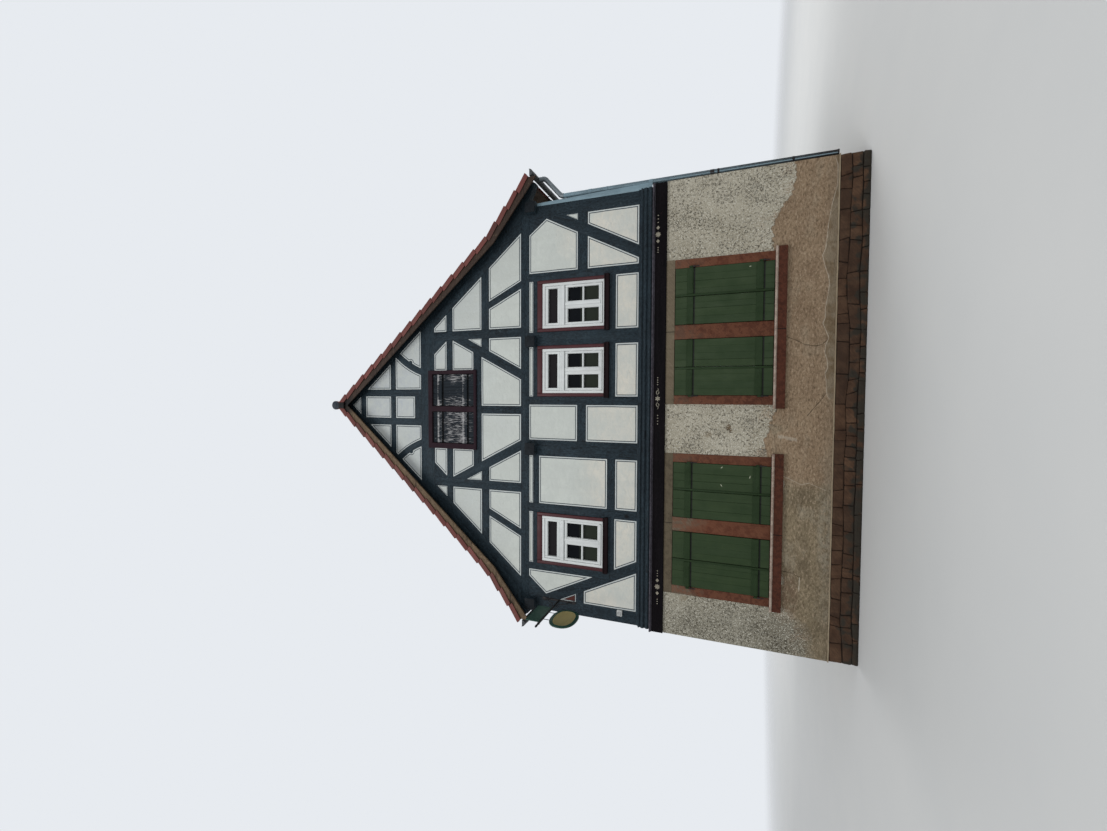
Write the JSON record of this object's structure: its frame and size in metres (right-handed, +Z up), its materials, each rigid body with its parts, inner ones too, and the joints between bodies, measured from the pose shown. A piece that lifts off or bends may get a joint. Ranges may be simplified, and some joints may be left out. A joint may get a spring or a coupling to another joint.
{
  "type": "half timbered house",
  "caption": "Gabled half timbered house on a rendered stone ground storey, with steep tiled roof, kicked eaves, bifold window shutters and a hanging sign bracket.",
  "frame": {"origin": "middle of the footprint on the ground, on the underside of the ground floor", "axes": "+Z up, street gable faces -Y, +X to the right seen from the street"},
  "size_m": [8.674, 11.325, 10.604],
  "materials": {
    "plinth_stone": "rough",
    "floor_stone": "rough",
    "render": "rough",
    "sandstone": "rough",
    "window_paint": "satin",
    "window_glass": "clear",
    "door_paint": "satin",
    "shutter_paint": "satin",
    "iron": "matt",
    "floor_wood": "raw",
    "board_paint": "satin",
    "timber_paint": "matt",
    "plaster": "matt",
    "casing_paint": "satin",
    "hatch_wood": "weathered",
    "roof_tile": "matt",
    "verge_wood": "weathered",
    "gutter_metal": "matt",
    "zinc": "matt",
    "sign_paint": "gloss",
    "box_plastic": "matt"
  },
  "bodies": {
    "house": {"plinth": "plinth_stone", "ground_floor": "floor_stone", "front_wall": "render", "side_walls": "render", "back_wall": "render", "stone_jambs": "sandstone", "stone_lintels": "sandstone", "stone_sills": "sandstone", "window_frames": "window_paint", "window_glass": "window_glass", "back_door": "door_paint", "door_steps": "sandstone", "shutter_pintles": "iron", "upper_floor": "floor_wood", "jetty_board": "board_paint", "sill_beams": "timber_paint", "posts": "timber_paint", "rails": "timber_paint", "braces": "timber_paint", "infill_panels": "plaster", "long_beams": "timber_paint", "tie_beams": "timber_paint", "attic_floor": "floor_wood", "window_casings": "casing_paint", "gable_struts": "timber_paint", "hatch_frame": "casing_paint", "hatch_leaves": "hatch_wood", "left_rafters": "timber_paint", "right_rafters": "timber_paint", "collar_beams": "floor_wood", "left_roof": "roof_tile", "right_roof": "roof_tile", "ridge_tiles": "roof_tile", "lightning_rod": "iron", "verge_boards": "verge_wood", "gutters": "gutter_metal", "downpipe": "zinc", "corner_flashing": "zinc", "sign_bracket": "iron", "sign_boards": "sign_paint", "junction_box": "box_plastic"},
    "shutter_1_outer_leaf": {"shutter_1_outer": "shutter_paint"},
    "shutter_1_inner_leaf": {"shutter_1_inner": "shutter_paint"},
    "shutter_2_outer_leaf": {"shutter_2_outer": "shutter_paint"},
    "shutter_2_inner_leaf": {"shutter_2_inner": "shutter_paint"},
    "shutter_3_outer_leaf": {"shutter_3_outer": "shutter_paint"},
    "shutter_3_inner_leaf": {"shutter_3_inner": "shutter_paint"},
    "shutter_4_outer_leaf": {"shutter_4_outer": "shutter_paint"},
    "shutter_4_inner_leaf": {"shutter_4_inner": "shutter_paint"}
  },
  "joints": [
    {"name": "shutter_1_swing", "type": "hinge", "parent": "house", "child": "shutter_1_outer_leaf", "pos_m": [-3.063, -4.866, 2.07], "axis": [0, 0, -1], "range_deg": [0, 170]},
    {"name": "shutter_1_fold", "type": "hinge", "parent": "shutter_1_outer_leaf", "child": "shutter_1_inner_leaf", "pos_m": [-2.568, -4.792, 2.07], "axis": [0, 0, 1], "range_deg": [0, 170]},
    {"name": "shutter_2_swing", "type": "hinge", "parent": "house", "child": "shutter_2_outer_leaf", "pos_m": [-0.877, -4.866, 2.07], "axis": [0, 0, 1], "range_deg": [0, 170]},
    {"name": "shutter_2_fold", "type": "hinge", "parent": "shutter_2_outer_leaf", "child": "shutter_2_inner_leaf", "pos_m": [-1.372, -4.792, 2.07], "axis": [0, 0, -1], "range_deg": [0, 170]},
    {"name": "shutter_3_swing", "type": "hinge", "parent": "house", "child": "shutter_3_outer_leaf", "pos_m": [0.262, -4.866, 2.07], "axis": [0, 0, -1], "range_deg": [0, 170]},
    {"name": "shutter_3_fold", "type": "hinge", "parent": "shutter_3_outer_leaf", "child": "shutter_3_inner_leaf", "pos_m": [0.757, -4.792, 2.07], "axis": [0, 0, 1], "range_deg": [0, 170]},
    {"name": "shutter_4_swing", "type": "hinge", "parent": "house", "child": "shutter_4_outer_leaf", "pos_m": [2.448, -4.866, 2.07], "axis": [0, 0, 1], "range_deg": [0, 170]},
    {"name": "shutter_4_fold", "type": "hinge", "parent": "shutter_4_outer_leaf", "child": "shutter_4_inner_leaf", "pos_m": [1.953, -4.792, 2.07], "axis": [0, 0, -1], "range_deg": [0, 170]}
  ],
  "couplings": [
    {"joint": "shutter_1_fold", "follows": "shutter_1_swing", "ratio": 1},
    {"joint": "shutter_2_fold", "follows": "shutter_2_swing", "ratio": 1},
    {"joint": "shutter_3_fold", "follows": "shutter_3_swing", "ratio": 1},
    {"joint": "shutter_4_fold", "follows": "shutter_4_swing", "ratio": 1}
  ]
}
